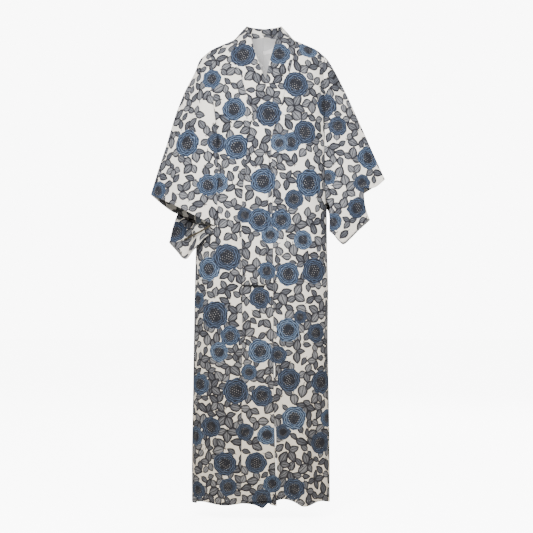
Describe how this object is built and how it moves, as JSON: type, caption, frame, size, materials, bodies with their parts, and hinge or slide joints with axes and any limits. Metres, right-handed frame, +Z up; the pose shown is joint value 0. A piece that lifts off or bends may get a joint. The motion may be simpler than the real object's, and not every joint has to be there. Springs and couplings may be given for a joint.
{
  "type": "cotton yukata robe",
  "caption": "Full-length cotton yukata robe in worn form, hollow, with crossed fronts, a long neckband and bag sleeves.",
  "frame": {"origin": "between the shoulders, inside the robe below the neck, where the wearer's shoulders hold it up", "axes": "+Z up, -Y the way the front faces, +X to the right of a person who looks at the front, which is the wearer's left"},
  "size_m": [0.751, 0.2521, 1.5284],
  "materials": {
    "printed_cotton": "plain-weave cotton, off-white with blue and grey flower print"
  },
  "bodies": {
    "root": {"body_left": "printed_cotton", "body_right": "printed_cotton", "gore_left": "printed_cotton", "gore_right": "printed_cotton", "collar": "printed_cotton", "sleeve_left": "printed_cotton", "sleeve_right": "printed_cotton"}
  },
  "joints": []
}
